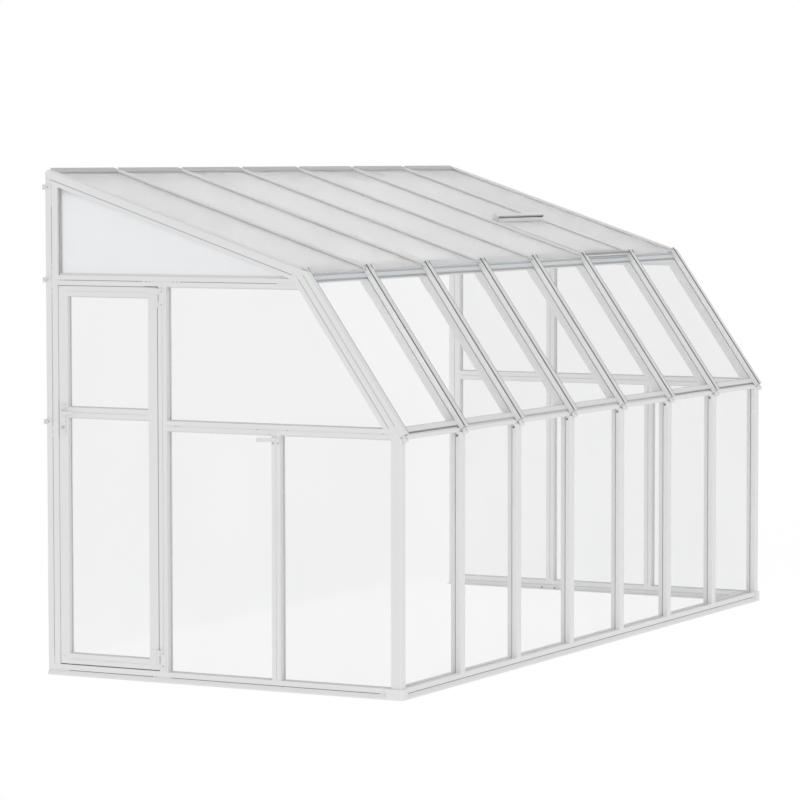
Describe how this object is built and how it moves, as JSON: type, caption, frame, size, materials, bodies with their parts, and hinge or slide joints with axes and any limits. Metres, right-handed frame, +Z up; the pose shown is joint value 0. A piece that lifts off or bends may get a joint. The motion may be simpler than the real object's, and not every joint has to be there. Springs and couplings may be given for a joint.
{
  "type": "lean-to sunroom",
  "caption": "Lean-to sunroom with a white aluminium frame, clear walls, a sloping glazed eave band, a pale sheet roof, a hinged end door with lever lock and a tilting roof vent with stay.",
  "frame": {"origin": "on the ground under the middle of the outline, half way along the length and half way from the house wall to the front", "axes": "+X along the house wall from the door end to the far end, -Y toward the garden front, +Y toward the house wall, +Z up"},
  "size_m": [4.345, 1.914, 2.4008],
  "materials": {
    "white_frame": "white powder coat, satin",
    "white_moulding": "white moulded plastic",
    "roof_sheet": "pale twin-wall sheet, softly translucent",
    "gable_sheet": "pale blue-grey translucent sheet",
    "clear_sheet": "clear sheet, smooth",
    "ridge_seal": "grey foam strip",
    "dark_seal": "black rubber",
    "steel": "zinc plated",
    "handle_finish": "white coated casting",
    "lock_metal": "nickel plated"
  },
  "bodies": {
    "frame": {"front_sill": "white_frame", "end_sill_door_end": "white_frame", "end_sill_far_end": "white_frame", "wall_post_door_end": "white_frame", "wall_post_far_end": "white_frame", "corner_post_door_end": "white_frame", "corner_post_far_end": "white_frame", "front_posts": "white_frame", "door_jamb": "white_frame", "mullion_far_end": "white_frame", "lower_mullions": "white_frame", "front_rail": "white_frame", "mid_rail_door_end": "white_frame", "mid_rails_far_end": "white_frame", "top_rail_door_end": "white_frame", "top_rail_far_end": "white_frame", "eave_purlins": "white_frame", "ridge_beam": "white_frame", "rafter_door_end": "white_frame", "rafter_far_end": "white_frame", "rafters": "white_frame", "knee_bar_door_end": "white_frame", "knee_bar_far_end": "white_frame", "knee_bars": "white_frame", "eave_brackets": "white_frame", "wall_tabs": "white_frame", "frame_hinge_leaves": "white_frame", "vent_header": "white_frame", "threshold": "white_frame", "base_corners": "white_moulding", "nose_caps": "white_moulding", "roof_panels": "roof_sheet", "gable_panels": "gable_sheet", "knee_panels": "clear_sheet", "front_panels": "clear_sheet", "end_panels_door_end": "clear_sheet", "end_panels_far_end": "clear_sheet", "ridge_seals": "ridge_seal", "door_seals": "dark_seal", "vent_seal": "dark_seal", "hinge_pins": "steel", "strike_plate": "steel", "frame_screws": "steel", "door_catch": "handle_finish"},
    "door": {"hinge_stile": "white_frame", "latch_stile": "white_frame", "door_rails": "white_frame", "door_panels": "clear_sheet", "door_sweep": "dark_seal", "door_hinge_leaves": "white_frame", "handle_plates": "handle_finish", "lock_case": "steel", "lock_cylinder": "lock_metal"},
    "lever": {"handle_levers": "handle_finish", "spindle": "steel"},
    "bolt": {"lock_bolt": "steel"},
    "plug": {"lock_plug": "lock_metal"},
    "vent": {"vent_frame": "white_frame", "vent_sheet": "roof_sheet"},
    "stay": {"vent_stay": "steel"}
  },
  "joints": [
    {"name": "door_swing", "type": "hinge", "parent": "frame", "child": "door", "pos_m": [-2.1305, 0.346, 0.95], "axis": [0, 0, 1], "range_deg": [0, 175]},
    {"name": "lever_turn", "type": "hinge", "parent": "door", "child": "lever", "pos_m": [-2.1305, 0.8655, 1.252], "axis": [1, 0, 0], "range_deg": [0, 90]},
    {"name": "bolt_slide", "type": "slide", "parent": "door", "child": "bolt", "axis": [0, 1, 0], "range_m": [0, 0.012]},
    {"name": "plug_turn", "type": "hinge", "parent": "door", "child": "plug", "pos_m": [-2.12, 0.8655, 1.18], "axis": [1, 0, 0], "range_deg": [0, 90]},
    {"name": "vent_swing", "type": "hinge", "parent": "frame", "child": "vent", "pos_m": [1.2, 0.10408, 2.11242], "axis": [-1, 0, 0], "range_deg": [0, 35]},
    {"name": "stay_swing", "type": "hinge", "parent": "vent", "child": "stay", "pos_m": [1.2, -0.34503, 1.94809], "axis": [-1, 0, 0], "range_deg": [0, 70]}
  ],
  "couplings": [
    {"joint": "bolt_slide", "follows": "lever_turn", "m_per_rad": 0.0076394}
  ]
}
